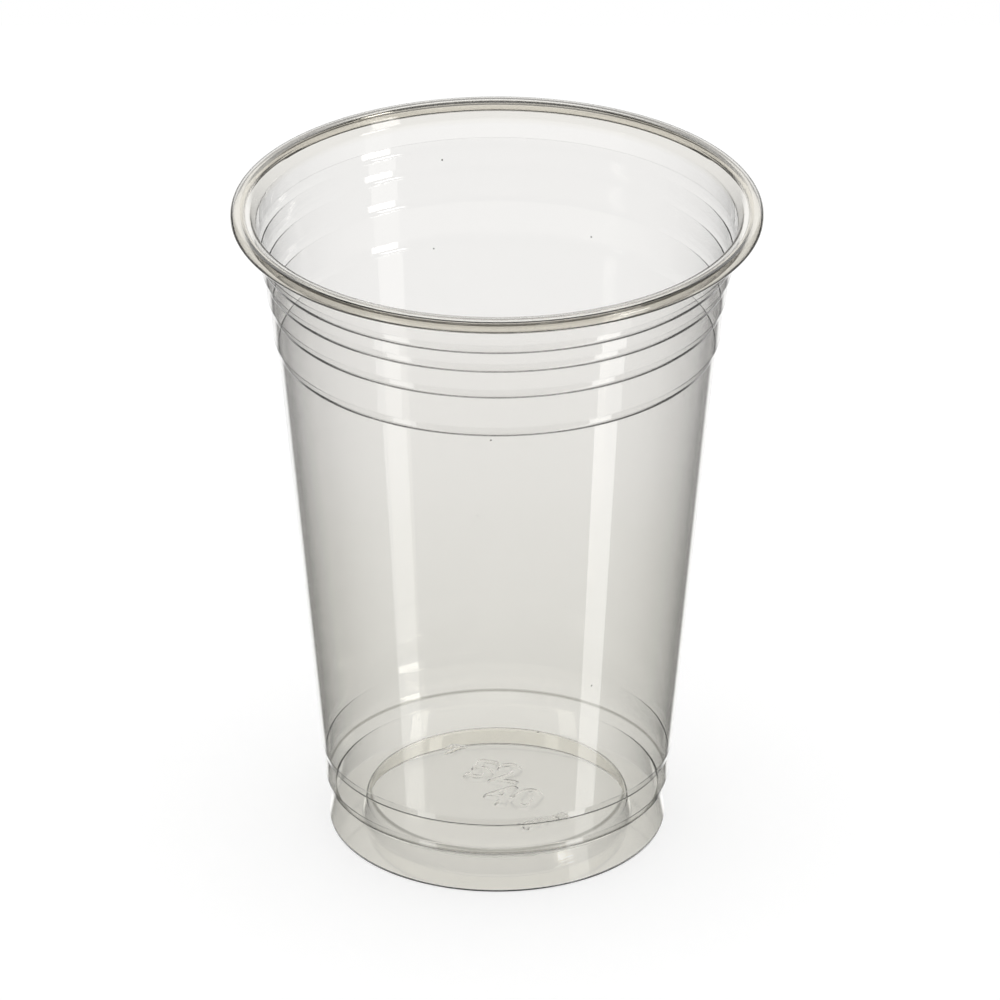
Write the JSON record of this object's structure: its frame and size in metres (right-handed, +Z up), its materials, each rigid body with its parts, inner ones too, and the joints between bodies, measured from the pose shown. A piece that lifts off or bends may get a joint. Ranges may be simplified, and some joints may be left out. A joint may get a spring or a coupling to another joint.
{
  "type": "disposable cup",
  "caption": "Clear plastic disposable drinking cup, tall and tapered, with a rolled lip, stepped ledges below the mouth and a raised floor in a standing ring.",
  "frame": {"origin": "centre of the standing ring, on the surface that the cup stands on", "axes": "+Z up the cup's axis towards the mouth; the cup is round, so +X and +Y are any two directions square to it"},
  "size_m": [0.095, 0.095, 0.123],
  "materials": {
    "clear_plastic": "thermoformed clear PET, glossy on both faces"
  },
  "bodies": {
    "root": {"cup": "clear_plastic"}
  },
  "joints": []
}
